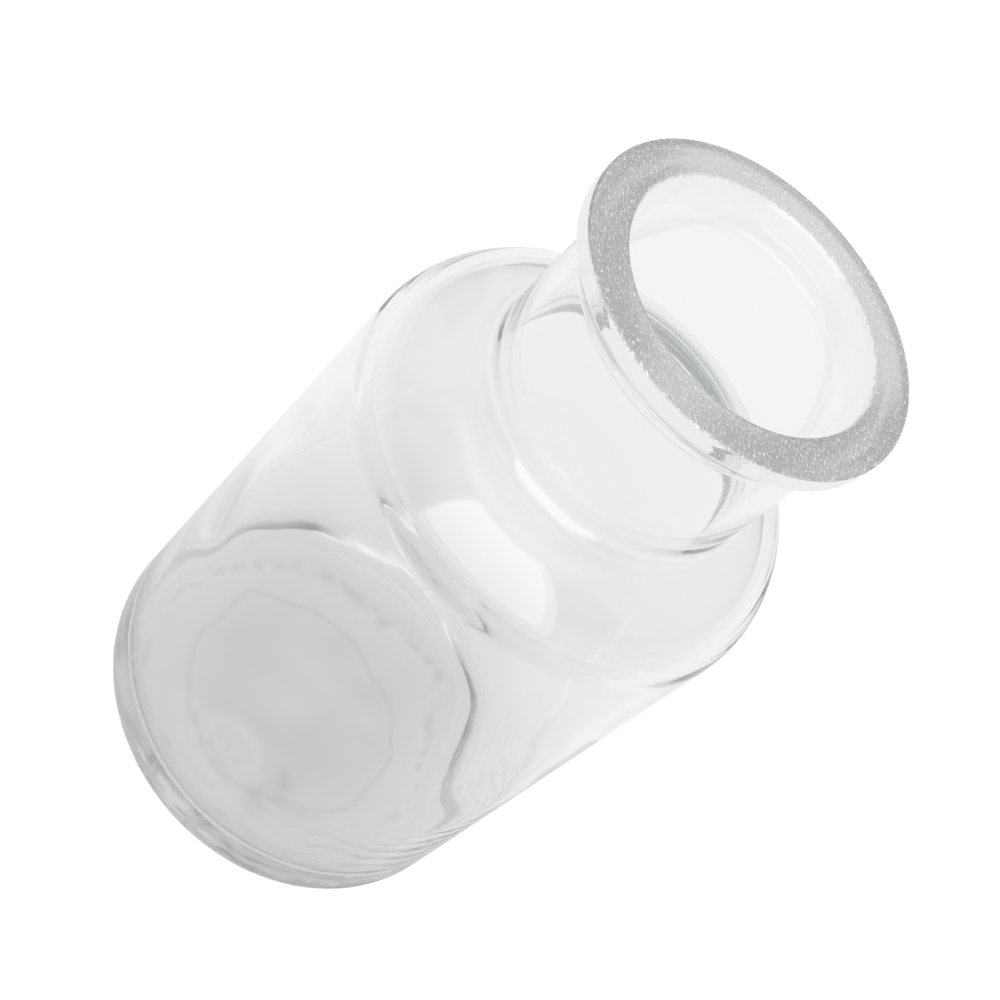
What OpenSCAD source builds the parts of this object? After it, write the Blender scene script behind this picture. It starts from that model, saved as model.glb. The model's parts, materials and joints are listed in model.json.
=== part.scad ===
// Gas jar: a wide-mouthed jar of clear glass, moulded in one piece.
// It stands on a ring round its pushed-up base. The top of the rim is ground
// flat, so that a glass cover plate seals on it.
// The origin is the centre of the standing ring, and +Z runs up the axis.

/* [Body] */
// Height of the jar, from the standing ring to the ground rim
jar_h = 130; // [80:0.5:200]
// Outer diameter of the straight side
body_d = 70; // [56:0.5:100]
// Thickness of the straight side
side_wall = 2.8; // [1.6:0.1:4.5]
// Height of the shoulder, the neck and the rim together
top_h = 44; // [35:0.1:70]
// Outer radius of the shoulder
shoulder_r = 14; // [8:0.1:15]

/* [Base] */
// Outer radius of the heel, where the side turns into the base
heel_r = 4; // [1.5:0.1:8]
// Radius of the bend inside, where the side turns into the floor
inner_heel_r = 4.5; // [3:0.1:14]
// Width of the flat ring that the jar stands on
standing_ring_w = 3; // [1:0.1:5]
// Height of the hollow under the middle of the base
push_up_h = 2.2; // [0.6:0.1:4]
// Thickness of the glass in the middle of the base
base_t = 4.2; // [2.5:0.1:8]
// Height by which the middle of the floor rises above its edge
floor_rise = 1.2; // [0.3:0.1:2.5]

/* [Neck] */
// Diameter of the bore through the neck
bore_d = 38.5; // [30:0.1:47]
// Thickness of the neck
neck_wall = 2.75; // [1.6:0.05:4.5]
// Radius of the hollow outside, where the shoulder turns up into the neck
neck_fillet_r = 2.4; // [1:0.1:4]
// Radius of the round edge inside, where the bore opens into the body
throat_r = 4; // [2:0.1:6]

/* [Rim] */
// Distance by which the rim stands out from the neck
rim_out = 3.6; // [2:0.1:6]
// Height of the upright band round the outside of the rim
rim_band_h = 2.8; // [1.5:0.1:4]
// Height of the slope under the rim, from the neck out to the band
rim_slope_h = 4.8; // [3:0.1:7]
// Radius of the hollow where the neck turns out into that slope
rim_fillet_r = 1.2; // [1:0.1:6]
// Radius of the edge between that slope and the band
rim_under_r = 0.6; // [0.5:0.1:2]
// Radius of the outer edge of the ground face
rim_edge_r = 0.4; // [0.2:0.1:1]
// Radius of the lip between the ground face and the bore
lip_r = 0.9; // [0.3:0.1:1.5]

/* [Hidden] */

// Facets of a full turn, and steps along each arc of the section
$fn = 180;
ARC_STEPS = 14;

body_r = body_d / 2;
cavity_r = body_r - side_wall;
bore_r = bore_d / 2;
neck_r = bore_r + neck_wall;
rim_r = neck_r + rim_out;

// The straight side ends at side_h, where the shoulder starts. The shoulder's outer
// and inner arcs share one centre, so the wall goes round it evenly
side_h = jar_h - top_h;
shoulder_c = [body_r - shoulder_r, side_h];
shoulder_inner_r = shoulder_r - side_wall;

// Hollow between shoulder and neck: it touches the shoulder and the neck's side
neck_fillet_c = beside_arc(shoulder_c, shoulder_r, neck_r, neck_fillet_r);
// Round edge between bore and cavity: it touches the inside of the shoulder and the bore
throat_c = beside_arc(shoulder_c, shoulder_inner_r, bore_r, throat_r);

// Underside of the base: a shallow dome from the standing ring to the middle
standing_r = body_r - heel_r;
push_up_r = standing_r - standing_ring_w;
push_up_dome_r = dome_radius(push_up_r, push_up_h);

// Floor: a shallow dome that meets the bend of the inner heel at its lowest circle
floor_z = push_up_h + base_t;
floor_edge_r = cavity_r - inner_heel_r;
floor_dome_r = dome_radius(floor_edge_r, floor_rise);
floor_edge_z = floor_z - floor_rise;

// Underside of the rim: its slope, then the arcs that blend it into neck and band
band_z = jar_h - rim_band_h;
slope_foot = [neck_r, band_z - rim_slope_h];
slope_top = [rim_r, band_z];
slope_turn = atan2(slope_top.x - slope_foot.x, slope_top.y - slope_foot.y);

// Points along an arc about c, from angle a0 to angle a1
function arc(c, r, a0, a1) =
    [for (i = [0 : ARC_STEPS]) let (a = a0 + (a1 - a0) * i / ARC_STEPS) c + r * [cos(a), sin(a)]];

// Centre of an arc of radius r that touches the upright line at line_x and lies on
// the shoulder arc (c, arc_r), or on the flat that runs in from the arc's top
function beside_arc(c, arc_r, line_x, r) =
    let (dx = max(0, line_x + r - c.x)) [line_x + r, c.y + sqrt(pow(arc_r + r, 2) - dx * dx)];

// Radius of the sphere whose cap has this rim radius and this height
function dome_radius(edge_r, rise) = (edge_r * edge_r + rise * rise) / (2 * rise);

// Points along a dome's half section, from its top on the axis down to its edge
function dome(top_z, sphere_r, edge_r) = arc([0, top_z - sphere_r], sphere_r, 90, 90 - asin(edge_r / sphere_r));

// Angle at which the shoulder arc about c gives way to the arc about q
function touch_angle(c, q) = min(90, atan2(q.y - c.y, q.x - c.x));

// Same points in the opposite order
function reversed(points) = [for (i = [len(points) - 1 : -1 : 0]) points[i]];

// Length from the corner of two lines to where an arc of radius r touches them,
// for lines that turn by the angle turn
function corner_run(r, turn) = r * tan(turn / 2);

// Outside of the jar, from the middle of the base out, up and over to the ground face
function outside() =
    let (touch = touch_angle(shoulder_c, neck_fillet_c),
         foot_run = corner_run(rim_fillet_r, slope_turn),
         top_run = corner_run(rim_under_r, slope_turn))
    concat(
        dome(push_up_h, push_up_dome_r, push_up_r),
        arc([standing_r, heel_r], heel_r, -90, 0),
        arc(shoulder_c, shoulder_r, 0, touch),
        arc(neck_fillet_c, neck_fillet_r, 180 + touch, 180),
        arc([neck_r + rim_fillet_r, slope_foot.y - foot_run], rim_fillet_r, 180, 180 - slope_turn),
        arc([rim_r - rim_under_r, slope_top.y + top_run], rim_under_r, -slope_turn, 0),
        arc([rim_r - rim_edge_r, jar_h - rim_edge_r], rim_edge_r, 0, 90));

// Inside of the jar, from the middle of the floor out and up to the ground face
function inside() =
    let (touch = touch_angle(shoulder_c, throat_c))
    concat(
        dome(floor_z, floor_dome_r, floor_edge_r),
        arc([floor_edge_r, floor_edge_z + inner_heel_r], inner_heel_r, -90, 0),
        arc(shoulder_c, shoulder_inner_r, 0, touch),
        arc(throat_c, throat_r, 180 + touch, 180),
        arc([bore_r + lip_r, jar_h - lip_r], lip_r, 180, 90));

// The whole jar: its half section turned round the axis
module jar() {
    color([0.88, 0.94, 0.93, 0.5])
        rotate_extrude()
            polygon(concat(outside(), reversed(inside())));
}

jar();
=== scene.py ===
"""Looks of the gas jar: the moulded glass as one fine closed surface, its ground
rim, a white floor and soft studio light. Lengths are in metres and +Z is up."""
import json
import math

import bpy
import numpy as np
from mathutils import Matrix, Vector


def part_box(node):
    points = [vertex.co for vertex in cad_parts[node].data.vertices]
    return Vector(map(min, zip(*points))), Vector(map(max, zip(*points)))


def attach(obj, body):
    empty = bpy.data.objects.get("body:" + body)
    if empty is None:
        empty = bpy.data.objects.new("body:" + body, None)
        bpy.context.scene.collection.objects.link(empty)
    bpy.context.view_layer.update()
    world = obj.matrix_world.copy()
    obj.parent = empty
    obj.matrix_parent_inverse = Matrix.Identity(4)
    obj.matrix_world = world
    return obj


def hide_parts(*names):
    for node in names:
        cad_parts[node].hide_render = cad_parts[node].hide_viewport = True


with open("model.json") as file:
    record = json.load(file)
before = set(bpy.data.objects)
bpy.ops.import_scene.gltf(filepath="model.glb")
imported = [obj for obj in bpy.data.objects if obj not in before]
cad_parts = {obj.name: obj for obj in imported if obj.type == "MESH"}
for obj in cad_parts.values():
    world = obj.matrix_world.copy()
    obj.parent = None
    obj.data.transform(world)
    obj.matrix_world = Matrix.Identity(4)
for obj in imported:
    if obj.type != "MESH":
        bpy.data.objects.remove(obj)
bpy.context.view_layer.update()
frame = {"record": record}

MM = 0.001

# ---------------------------------------------------------------- sizes of the jar
BOX_LOW, BOX_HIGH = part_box("jar")
MOUNTS = {mount["name"]: mount for mount in frame["record"]["mounts"]}
JAR_H = BOX_HIGH.z
BODY_R = BOX_HIGH.x
BORE_R = MOUNTS["mouth"]["dims"]["r_mm"] * MM
SIDE_WALL = 2.8 * MM
TOP_H = 44 * MM
SHOULDER_R = 14 * MM
HEEL_R = 4 * MM
INNER_HEEL_R = 4.5 * MM
STANDING_RING_W = 3 * MM
PUSH_UP_H = 2.2 * MM
BASE_T = 4.2 * MM
FLOOR_RISE = 1.2 * MM
NECK_WALL = 2.75 * MM
NECK_FILLET_R = 2.4 * MM
THROAT_R = 4 * MM
RIM_OUT = 3.6 * MM
RIM_BAND_H = 2.8 * MM
RIM_SLOPE_H = 4.8 * MM
RIM_FILLET_R = 1.2 * MM
RIM_UNDER_R = 0.6 * MM
RIM_EDGE_R = 0.4 * MM
LIP_R = 0.9 * MM

NECK_R = BORE_R + NECK_WALL
RIM_R = NECK_R + RIM_OUT
GROUND_IN = BORE_R + LIP_R
GROUND_OUT = RIM_R - RIM_EDGE_R


# ---------------------------------------------------------------- section of the jar
def arc(centre, radius, start, end, rows):
    """Points c + r (cos a, sin a), with the angle a going evenly from start to end in degrees."""
    angle = np.radians(np.linspace(start, end, rows))
    return np.stack([centre[0] + radius * np.cos(angle), centre[1] + radius * np.sin(angle)], 1)


def dome(top, edge_r, rise, rows):
    """Half section of a spherical cap: from its top on the axis down to its edge circle."""
    sphere_r = (edge_r**2 + rise**2) / (2 * rise)
    return arc((0, top - sphere_r), sphere_r, 90, 90 - math.degrees(math.asin(edge_r / sphere_r)), rows)


def beside(centre, radius, line, fillet):
    """Centre of a fillet that touches an arc from outside and the upright line on its inner side."""
    across = max(0.0, line + fillet - centre[0])
    return line + fillet, centre[1] + math.sqrt((radius + fillet) ** 2 - across**2)


def touch_angle(centre, other):
    """Direction in degrees from one arc's centre to the other's, at most straight up."""
    return min(90.0, math.degrees(math.atan2(other[1] - centre[1], other[0] - centre[0])))


def joined(*parts):
    """One line through the parts. A number between two parts is the rows on the straight run there."""
    line = [parts[0]]
    for part, following in zip(parts[1:], parts[2:] + (None,)):
        if isinstance(part, int):
            along = np.linspace(0, 1, part + 2)[1:-1, None]
            line.append(line[-1][-1] * (1 - along) + following[0] * along)
        elif np.hypot(*(part[0] - line[-1][-1])) < 1e-7:
            line.append(part[1:])
        else:
            line.append(part)
    return np.concatenate(line)


def outside():
    """Outer line from the middle of the base out, up the side and over to the ground face.

    Its rows lie closer where the ripples are, and where the mould line crosses the shoulder."""
    shoulder = (BODY_R - SHOULDER_R, JAR_H - TOP_H)
    hollow = beside(shoulder, SHOULDER_R, NECK_R, NECK_FILLET_R)
    touch = touch_angle(shoulder, hollow)
    standing_r = BODY_R - HEEL_R
    band_z = JAR_H - RIM_BAND_H
    turn = math.degrees(math.atan2(RIM_OUT, RIM_SLOPE_H))
    run = math.tan(math.radians(turn / 2))
    foot = (NECK_R + RIM_FILLET_R, band_z - RIM_SLOPE_H - RIM_FILLET_R * run)
    under = (RIM_R - RIM_UNDER_R, band_z + RIM_UNDER_R * run)
    ripple_top = np.array([[BODY_R, RIPPLE_TOP]])
    return joined(
        dome(PUSH_UP_H, standing_r - STANDING_RING_W, PUSH_UP_H, 42), 3,
        arc((standing_r, HEEL_R), HEEL_R, -90, 0, 16), 42, ripple_top, 14,
        arc(shoulder, SHOULDER_R, 0, 15, 6),
        arc(shoulder, SHOULDER_R, 15, 26, 16), arc(shoulder, SHOULDER_R, 26, touch, 18),
        arc(hollow, NECK_FILLET_R, 180 + touch, 180, 12), 6,
        arc(foot, RIM_FILLET_R, 180, 180 - turn, 6), 20,
        arc(under, RIM_UNDER_R, -turn, 0, 6), 2,
        arc((GROUND_OUT, JAR_H - RIM_EDGE_R), RIM_EDGE_R, 0, 90, 6),
    )


def inside():
    """Inner line from the middle of the floor out, up the side and over to the ground face."""
    shoulder = (BODY_R - SHOULDER_R, JAR_H - TOP_H)
    shoulder_r = SHOULDER_R - SIDE_WALL
    throat = beside(shoulder, shoulder_r, BORE_R, THROAT_R)
    touch = touch_angle(shoulder, throat)
    floor_top = PUSH_UP_H + BASE_T
    floor_r = BODY_R - SIDE_WALL - INNER_HEEL_R
    return joined(
        dome(floor_top, floor_r, FLOOR_RISE, 54),
        arc((floor_r, floor_top - FLOOR_RISE + INNER_HEEL_R), INNER_HEEL_R, -90, 0, 16), 24,
        arc(shoulder, shoulder_r, 0, touch, 20),
        arc(throat, THROAT_R, 180 + touch, 180, 12), 9,
        arc((GROUND_IN, JAR_H - LIP_R), LIP_R, 180, 90, 8),
    )


# ---------------------------------------------------------------- the glass surface
# Points round each ring of the skin
COLUMNS = 272
# chill ripples, in rings low on one side: the top of them, their spacing, depth and side
RIPPLE_TOP = 34 * MM
RIPPLE_PITCH = 3.6 * MM
RIPPLE_DEPTH = 0.09 * MM
RIPPLE_SIDE = math.radians(-25)
RIPPLE_WIDTH = math.radians(34)
# lines that the mould left round the shoulder and under the rim
PARTING_Z = JAR_H - TOP_H + 5.0 * MM
NECK_RING_Z = JAR_H - 5.5 * MM
# seam of the base plate, and the uneven ring outside it
SEAM_R = 20.3 * MM
UNEVEN_R = 27.4 * MM
# raised loop in the floor: its middle, its half lengths and its height
LOOP = (-1.0 * MM, -18.6 * MM)
LOOP_ACROSS = 4.6 * MM
LOOP_ALONG = 3.9 * MM
LOOP_RISE = 0.55 * MM
# creases in the floor: start, end, depth and width, in mm
CREASES = (
    ((8.6, -14.2), (9.6, -15.4), 0.30, 1.7),
    ((7.4, -21.0), (8.6, -22.0), 0.30, 1.9),
    ((9.0, -17.5), (10.6, -19.0), 0.16, 2.6),
    ((12.0, -19.5), (16.8, -14.6), 0.14, 0.7),
    ((13.4, -20.6), (18.6, -15.4), 0.10, 0.6),
)


def waves(points, shortest, longest, count, seed):
    """Sum of count sines sin(k.p + phase), with a mean square of 1.

    Their directions are random, and their lengths run from shortest to longest."""
    draw = np.random.default_rng(seed)
    way = draw.normal(size=(count, 3))
    way /= np.linalg.norm(way, axis=1, keepdims=True)
    length = shortest * (longest / shortest) ** draw.random(count)
    phase = draw.random(count) * 2 * np.pi
    return np.sin(points @ (way * 2 * np.pi / length[:, None]).T + phase).sum(-1) * math.sqrt(2 / count)


def ramp(value, start, end):
    """0 at start and before, 1 at end and beyond, by 3 t^2 - 2 t^3 between them."""
    t = np.clip((value - start) / (end - start), 0, 1)
    return t * t * (3 - 2 * t)


def bell(value, middle, width):
    """exp(-((v - m) / w)^2)."""
    return np.exp(-(((value - middle) / width) ** 2))


def turned(line):
    """Points (r cos a, r sin a, z) of the line's rows by COLUMNS, with a going once round."""
    angle = np.linspace(0, 2 * np.pi, COLUMNS, endpoint=False)
    r, z = line[:, :1], np.repeat(line[:, 1:], COLUMNS, 1)
    return np.stack([r * np.cos(angle), r * np.sin(angle), z], -1)


def outward(line):
    """Unit normals of the line's points by COLUMNS, on the right-hand side of the way along it."""
    slope = np.gradient(line, axis=0)
    slope /= np.linalg.norm(slope, axis=1, keepdims=True)
    return turned(np.stack([slope[:, 1], -slope[:, 0]], 1))


def outer_skin():
    """Outside of the jar: each point is the turned line's, moved inwards by its depth, and its painted
    shade.

    The depth is a sum of waves, ripples, mould lines and the seam and uneven ring under the base, and is
    never negative."""
    line = outside()
    points = turned(line)
    x, y, z = np.moveaxis(points, -1, 0)
    r = np.hypot(x, y)
    angle = np.arctan2(y, x)
    calm = ramp(z, JAR_H - 0.4 * MM, JAR_H - 3 * MM)
    depth = 0.014 * MM * np.exp(0.6 * waves(points, 14 * MM, 40 * MM, 24, 3)) * calm
    depth += 0.0012 * MM * np.exp(0.6 * waves(points, 3 * MM, 8 * MM, 40, 5)) * calm
    wander = waves(points, 12 * MM, 30 * MM, 12, 11)
    side = bell(angle, RIPPLE_SIDE, RIPPLE_WIDTH) * ramp(z, 2 * MM, 7 * MM) * ramp(z, 33 * MM, 20 * MM)
    ripple = 1 + np.sin(2 * np.pi * z / RIPPLE_PITCH + 1.3 * wander)
    depth += RIPPLE_DEPTH * side * ripple
    depth += 0.03 * MM * bell(z, PARTING_Z + 0.15 * MM * wander, 0.38 * MM) * (r > 30 * MM)
    depth += 0.10 * MM * bell(z, NECK_RING_Z, 0.28 * MM) * (r < RIM_R)
    below = ramp(z, 6 * MM, 2 * MM) * (r < BODY_R - HEEL_R)
    seam = bell(r, SEAM_R + 0.35 * MM * waves(points, 10 * MM, 25 * MM, 10, 21), 0.45 * MM)
    uneven = bell(r, UNEVEN_R + 0.7 * MM * waves(points, 7 * MM, 18 * MM, 12, 22), 0.8 * MM)
    uneven *= ramp(waves(points, 2.6 * MM, 5 * MM, 16, 23), -0.9, 0.7)
    depth += below * (0.06 * MM * seam + 0.08 * MM * uneven)
    # painted shade: the glass's colour is darkened in the base's seam and uneven ring and in the deepest
    # parts of the ripples, where shade falls
    marks = below * (0.6 * seam + 0.9 * uneven) + 0.22 * side * ramp(ripple, 1.1, 1.9)
    return points - outward(line) * depth[..., None], marks


def inner_skin():
    """Inside of the jar: each point is the turned line's, moved by the rise into the hollow, and its
    painted shade.

    The rise is a sum of waves, a raised loop and sunk creases in the floor."""
    line = inside()
    points = turned(line)
    x, y, z = np.moveaxis(points, -1, 0)
    r = np.hypot(x, y)
    calm = ramp(z, JAR_H - 0.5 * MM, JAR_H - 5 * MM)
    body = ramp(z, JAR_H - 25 * MM, JAR_H - 45 * MM)
    rise = (0.03 + 0.07 * body) * MM * waves(points, 18 * MM, 45 * MM, 24, 31) * calm
    rise += 0.002 * MM * waves(points, 5 * MM, 11 * MM, 30, 32) * calm
    floor = ramp(z, 9 * MM, 6 * MM)
    rise += floor * 0.07 * MM * waves(points, 10 * MM, 26 * MM, 20, 33)
    round_loop = np.hypot((x - LOOP[0]) / LOOP_ACROSS, (y - LOOP[1]) / LOOP_ALONG)
    rise += floor * LOOP_RISE * bell(round_loop, 1, 0.24)
    # painted shade and light: the base's middle is darkened, partly for its thicker glass and partly as
    # painted shade, and the raised loop is painted lighter than the plain glass; the darkness also varies
    # a little at random
    marks = 0.34 * ramp(r, 24 * MM, 15 * MM) * floor * (1 - 1.6 * bell(round_loop, 1, 0.34))
    marks += 0.08 * floor * waves(points, 8 * MM, 20 * MM, 20, 34) * ramp(r, 24 * MM, 12 * MM)
    for start, end, depth, width in CREASES:
        cut = floor * groove(x, y, np.array(start) * MM, np.array(end) * MM, width * MM)
        rise -= depth * MM * cut
        # painted shade: the glass is darkened along each crease, the more the deeper it is
        marks += 2.2 * depth * cut
    return points - outward(line) * rise[..., None], marks


def groove(x, y, start, end, width):
    """exp(-(d / w)^2), where d is the distance from the straight piece between start and end."""
    run = end - start
    t = np.clip(((x - start[0]) * run[0] + (y - start[1]) * run[1]) / (run @ run), 0, 1)
    gap = np.hypot(x - start[0] - t * run[0], y - start[1] - t * run[1])
    return bell(gap, 0, width)


def ground_face(outer_edge, inner_edge):
    """Rings that lead straight from the outer edge of the ground face to its inner edge."""
    share = (np.array([0.03, 0.25, 0.5, 0.75, 0.97]))[:, None, None]
    return outer_edge * (1 - share) + inner_edge * share


def closed_mesh(name, grid, marks):
    """A mesh whose rows are closed rings, with its first and last ring drawn to one point each."""
    rows, columns = grid.shape[:2]
    middle = grid[1:-1].reshape(-1, 3)
    points = np.concatenate([grid[:1, 0], middle, grid[-1:, 0]])
    first, last = 0, len(points) - 1
    ring = np.arange((rows - 2) * columns).reshape(rows - 2, columns) + 1
    nxt = np.roll(ring, -1, 1)
    quads = np.stack([ring[:-1], nxt[:-1], nxt[1:], ring[1:]], -1).reshape(-1, 4)
    low = np.stack([np.full(columns, first), nxt[0], ring[0]], -1)
    high = np.stack([np.full(columns, last), ring[-1], nxt[-1]], -1)
    mesh = bpy.data.meshes.new(name)
    mesh.from_pydata(points.tolist(), [], low.tolist() + quads.tolist() + high.tolist())
    mesh.polygons.foreach_set("use_smooth", np.ones(len(mesh.polygons), bool))
    # the painted shade of each point, kept as an attribute for the glass's colour
    shade = mesh.attributes.new("marks", "FLOAT", "POINT")
    shade.data.foreach_set("value", np.concatenate([marks[:1, 0], marks[1:-1].ravel(), marks[-1:, 0]]))
    mesh.update()
    thing = bpy.data.objects.new(name, mesh)
    bpy.context.scene.collection.objects.link(thing)
    return thing


def jar_surface():
    """The whole skin: up the outside, over the ground face, and down the inside."""
    (outer, outer_painted_shade), (inner, inner_painted_shade) = outer_skin(), inner_skin()
    face = ground_face(outer[-1], inner[-1])
    skin = np.concatenate([outer, face, inner[::-1]])
    # the painted shade of each ring, with none on the ground face
    marks = np.concatenate([outer_painted_shade, np.zeros(face.shape[:2]), inner_painted_shade[::-1]])
    return skin, marks


# ---------------------------------------------------------------- shader arithmetic
class Value:
    """One socket of a node tree. Arithmetic on it adds Math nodes to the tree."""

    def __init__(self, tree, socket):
        self.tree, self.socket = tree, socket

    def node(self, kind, settings=None, outputs=0, **inputs):
        """A node of this kind, with its settings set first and its sockets then given values or links."""
        made = self.tree.nodes.new(kind)
        for name, value in (settings or {}).items():
            setattr(made, name, value)
        for name, value in inputs.items():
            numbered = name[0] == "i" and name[1:].isdigit()
            socket = made.inputs[int(name[1:]) if numbered else name.replace("_", " ")]
            if isinstance(value, Value):
                self.tree.links.new(value.socket, socket)
            else:
                socket.default_value = value
        return None if outputs is None else Value(self.tree, made.outputs[outputs])

    def math(self, operation, *values):
        """A Math node on the values alone."""
        sockets = {f"i{k}": value for k, value in enumerate(values)}
        return self.node("ShaderNodeMath", {"operation": operation}, **sockets)

    def math1(self, operation):
        """A Math node on this socket."""
        return self.math(operation, self)

    def __add__(self, other):
        return self.math("ADD", self, other)

    def __sub__(self, other):
        return self.math("SUBTRACT", self, other)

    def __rsub__(self, other):
        return self.math("SUBTRACT", other, self)

    def __mul__(self, other):
        return self.math("MULTIPLY", self, other)

    def ramp(self, start, end):
        """0 at start and before, 1 at end and beyond, smooth between them."""
        settings = {"interpolation_type": "SMOOTHSTEP"}
        turned_round = start > end
        low, high = min(start, end), max(start, end)
        ends = {"From Min": low, "From Max": high}
        ends.update({"To Min": 1.0 * turned_round, "To Max": 1.0 - turned_round})
        return self.node("ShaderNodeMapRange", settings, Value=self, **ends)

    __radd__, __rmul__ = __add__, __mul__


def new_material(name):
    """An empty material and a Value to start its nodes from."""
    material = bpy.data.materials.new(name)
    material.use_nodes = True
    material.node_tree.nodes.clear()
    return material, Value(material.node_tree, None)


def glass_material():
    """Clear soda glass, ground matt on the flat face of the rim."""
    material, make = new_material("clear_soda_glass")
    place = make.node("ShaderNodeTexCoord", outputs="Object")
    x, y, z = (make.node("ShaderNodeSeparateXYZ", outputs=k, Vector=place) for k in range(3))
    r = make.math("SQRT", x * x + y * y)
    ragged = make.node("ShaderNodeTexNoise", outputs="Fac", Vector=place, Scale=900.0, Detail=3.0) - 0.5
    edge = ragged * (0.9 * MM)
    on_top = z.ramp(JAR_H - 0.45 * MM, JAR_H - 0.25 * MM)
    ground = on_top * (r + edge).ramp(GROUND_IN - 0.6 * MM, GROUND_IN - 0.25 * MM)
    grain = make.node("ShaderNodeTexNoise", outputs="Fac", Vector=place, Scale=2600.0, Detail=4.0)
    strokes = make.node("ShaderNodeCombineXYZ", X=(x - y) * 0.40, Y=(x + y) * 1.5, Z=z)
    fleck = make.node("ShaderNodeTexNoise", outputs="Fac", Vector=strokes, Scale=2600.0, Detail=1.0)
    pale = fleck.ramp(0.59, 0.66)
    # painted shade: the glass's colour is darkened by the painted shade kept on the mesh, in grooves,
    # creases, ripples and the base's middle, and lightened on the raised loop
    marks = make.node("ShaderNodeAttribute", {"attribute_name": "marks"}, outputs="Fac")
    shade = 1.0 - 0.30 * marks
    colour = make.node("ShaderNodeCombineXYZ", X=shade * 0.968, Y=shade * 0.974, Z=shade * 0.972)
    stand_r = BODY_R - HEEL_R
    ring = z.ramp(1.6 * MM, 0.9 * MM) * r.ramp(stand_r + 1.5 * MM, stand_r)
    hollow = z.ramp(3.2 * MM, 2.4 * MM) * r.ramp(stand_r, stand_r - 1.0 * MM)
    under = ring + (1.0 - ring) * hollow
    bend = z.ramp(15 * MM, 10 * MM) * z.ramp(4.5 * MM, 6 * MM)
    bend = bend * r.ramp(23 * MM, 27 * MM) * r.ramp(BODY_R - 0.8 * MM, BODY_R - 1.6 * MM)
    bump = make.node("ShaderNodeBump", Strength=ground * 0.8, Distance=0.05 * MM, Height=grain + fleck)
    dull = ground * 0.45 + under * 0.10 + bend * 0.28
    glass = make.node("ShaderNodeBsdfPrincipled", Base_Color=colour, Roughness=dull, IOR=1.5,
                      Transmission_Weight=1.0, Normal=bump)
    tone = 0.53 + 0.5 * (grain - 0.5) + 0.48 * pale
    white = make.node("ShaderNodeCombineXYZ", X=tone, Y=tone, Z=tone)
    matt = make.node("ShaderNodeBsdfPrincipled", Base_Color=white, Roughness=0.6, IOR=1.5, Normal=bump)
    both = make.node("ShaderNodeMixShader", i0=ground * (0.50 + 0.50 * pale), i1=glass, i2=matt)
    depth = make.node("ShaderNodeVolumeAbsorption", Color=(0.50, 0.53, 0.52, 1), Density=9.0)
    make.node("ShaderNodeOutputMaterial", outputs=None, Surface=both, Volume=depth)
    return material


# ---------------------------------------------------------------- camera, floor and light
CAMERA_PLACE = Vector((0, -0.19918, 0.27311))
CAMERA_AIM = Vector((-0.00275, 0, 0.0717))
CAMERA_ROLL = math.radians(-48.64)
CAMERA_LENS = 68.58
# brightness of the table and room looked at directly, and of the table seen through the glass
OPEN_WHITE = 1.05
GLASS_SEES = 0.94
# the jar's painted shadow: how much darker, and the radii where it is full and where it ends
SHADOW_DEPTH = 0.30
SHADOW_IN = 14 * MM
SHADOW_OUT = 80 * MM


def add_camera():
    """A camera at its place, turned to its aim, then rolled about the line of sight."""
    data = bpy.data.cameras.new("camera")
    data.lens, data.sensor_width = CAMERA_LENS, 36
    data.clip_start, data.clip_end = 0.01, 50
    camera = bpy.data.objects.new("camera", data)
    sight = (CAMERA_AIM - CAMERA_PLACE).normalized()
    level = sight.cross(Vector((0, 0, 1))).normalized()
    above = level.cross(sight)
    up = math.cos(CAMERA_ROLL) * above + math.sin(CAMERA_ROLL) * level
    right = sight.cross(up)
    turn = Matrix((right, up, -sight)).transposed()
    camera.matrix_world = Matrix.Translation(CAMERA_PLACE) @ turn.to_4x4()
    bpy.context.scene.collection.objects.link(camera)
    bpy.context.scene.camera = camera


def floor_material():
    """Plain white table, which gives its own light and takes no shadows.

    The glass shows it as a plain pale grey, with a soft round shadow painted where the jar stands."""
    material, make = new_material("white_table")
    place = make.node("ShaderNodeTexCoord", outputs="Object")
    x, y = (make.node("ShaderNodeSeparateXYZ", outputs=k, Vector=place) for k in range(2))
    shadow = make.math("SQRT", x * x + y * y).ramp(SHADOW_OUT, SHADOW_IN)
    through_glass = GLASS_SEES - SHADOW_DEPTH * shadow
    straight = make.node("ShaderNodeLightPath", outputs="Is Camera Ray")
    strength = through_glass * (1.0 - straight) + OPEN_WHITE * straight
    light = make.node("ShaderNodeEmission", Color=(1, 1, 1, 1), Strength=strength)
    make.node("ShaderNodeOutputMaterial", outputs=None, Surface=light)
    return material


def add_floor():
    """A square of table."""
    size = 3.0
    mesh = bpy.data.meshes.new("floor")
    corners = [(-size, -size, 0), (size, -size, 0), (size, size, 0), (-size, size, 0)]
    mesh.from_pydata(corners, [], [(0, 1, 2, 3)])
    mesh.materials.append(floor_material())
    floor = bpy.data.objects.new("floor", mesh)
    bpy.context.scene.collection.objects.link(floor)


# The room's own light, and the least that its dark screens may leave of it
ROOM_LIGHT = 0.62
ROOM_LEAST = 0.03
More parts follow.
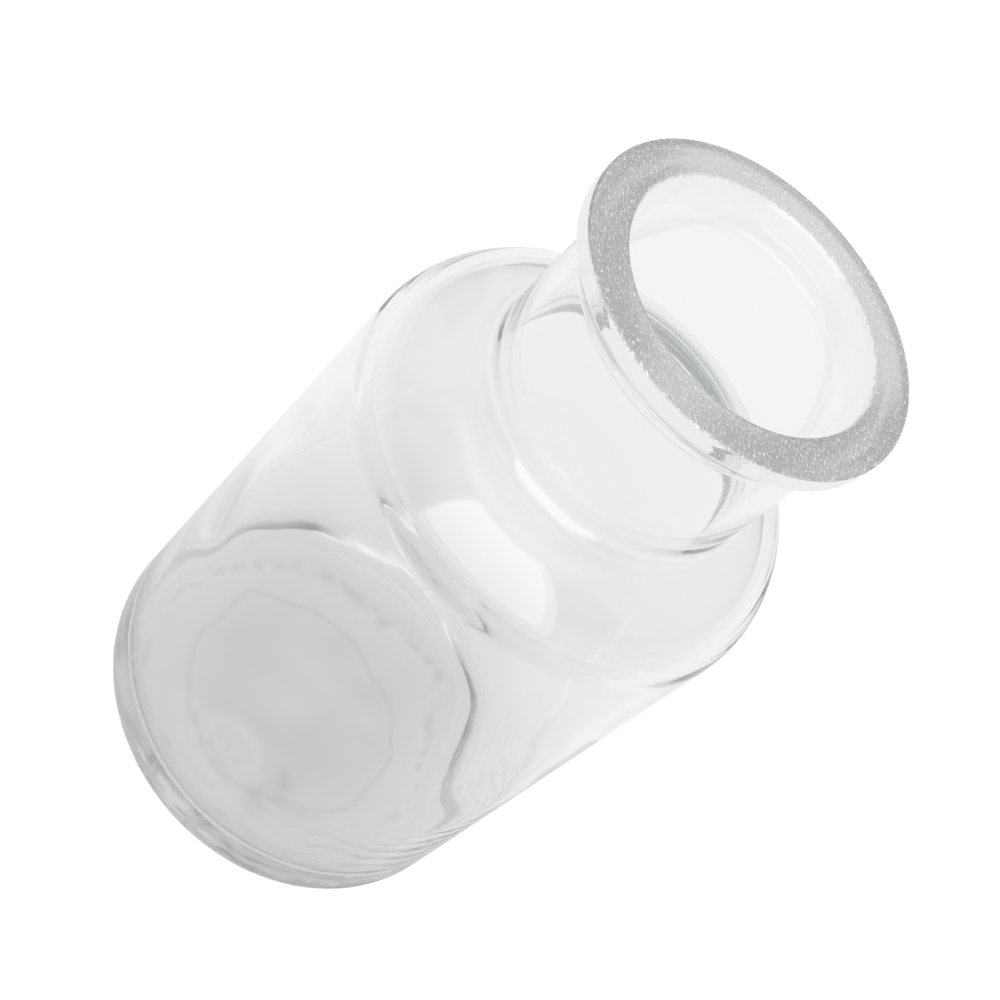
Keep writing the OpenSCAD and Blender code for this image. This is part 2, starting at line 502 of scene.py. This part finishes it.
# Panels of light, and dark screens: azimuth and elevation of the middle, half width, half height and
# the softness of the edge, all in degrees, and the strength that each adds to the room's light.
# A screen's is negative
PANELS = (
    ("front panel", -78.5, 32, 36.5, 34, 1.2, 1.7),
    ("overhead panel", 0, 90, 400, 24, 3, 0.45),
    ("screen on the right", -24, 35, 15, 21, 3, -0.45),
    ("screen on the left", -148, 36, 29, 34, 4, -0.32),
    ("fold in the left screen", -160, 40, 5, 16, 5, -0.26),
    ("screen behind on the left", 138, 18, 13, 20, 2, -0.25),
)


def add_world():
    """Panels of light and dark screens in a dim room, each a smooth-edged patch of azimuth and elevation.

    Looked at directly the room is the same open white as the table; the glass shows the panels."""
    world = bpy.data.worlds.new("studio")
    bpy.context.scene.world = world
    world.use_nodes = True
    world.node_tree.nodes.clear()
    make = Value(world.node_tree, None)
    way = make.node("ShaderNodeTexCoord", outputs="Generated")
    x, y, z = (make.node("ShaderNodeSeparateXYZ", outputs=k, Vector=way) for k in range(3))
    azimuth = make.math("ARCTAN2", y, x) * (180 / math.pi)
    elevation = make.math("ARCSINE", z) * (180 / math.pi)
    light = ROOM_LIGHT
    for _, middle, height, wide, high, soft, strength in PANELS:
        turn = make.math("WRAP", azimuth - middle, 180.0, -180.0)
        across = turn.math1("ABSOLUTE").ramp(wide + soft, wide - soft)
        along = (elevation - height).math1("ABSOLUTE").ramp(high + soft, high - soft)
        light = across * along * strength + light
    straight = make.node("ShaderNodeLightPath", outputs="Is Camera Ray")
    strength = make.math("MAXIMUM", light, ROOM_LEAST) * (1.0 - straight) + OPEN_WHITE * straight
    shade = make.node("ShaderNodeBackground", Color=(1, 1, 1, 1), Strength=strength)
    make.node("ShaderNodeOutputWorld", outputs=None, Surface=shade)


def main():
    """Camera, table, light and the jar."""
    scene = bpy.context.scene
    scene.view_settings.view_transform = "Standard"
    # light runs down inside the wall by dozens of total reflections, which count as glossy bounces
    scene.cycles.max_bounces = 40
    scene.cycles.transmission_bounces = 40
    scene.cycles.glossy_bounces = 40
    add_camera()
    add_floor()
    add_world()
    jar = closed_mesh("jar_glass", *jar_surface())
    jar.data.materials.append(glass_material())
    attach(jar, "root")
    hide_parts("jar")


main()
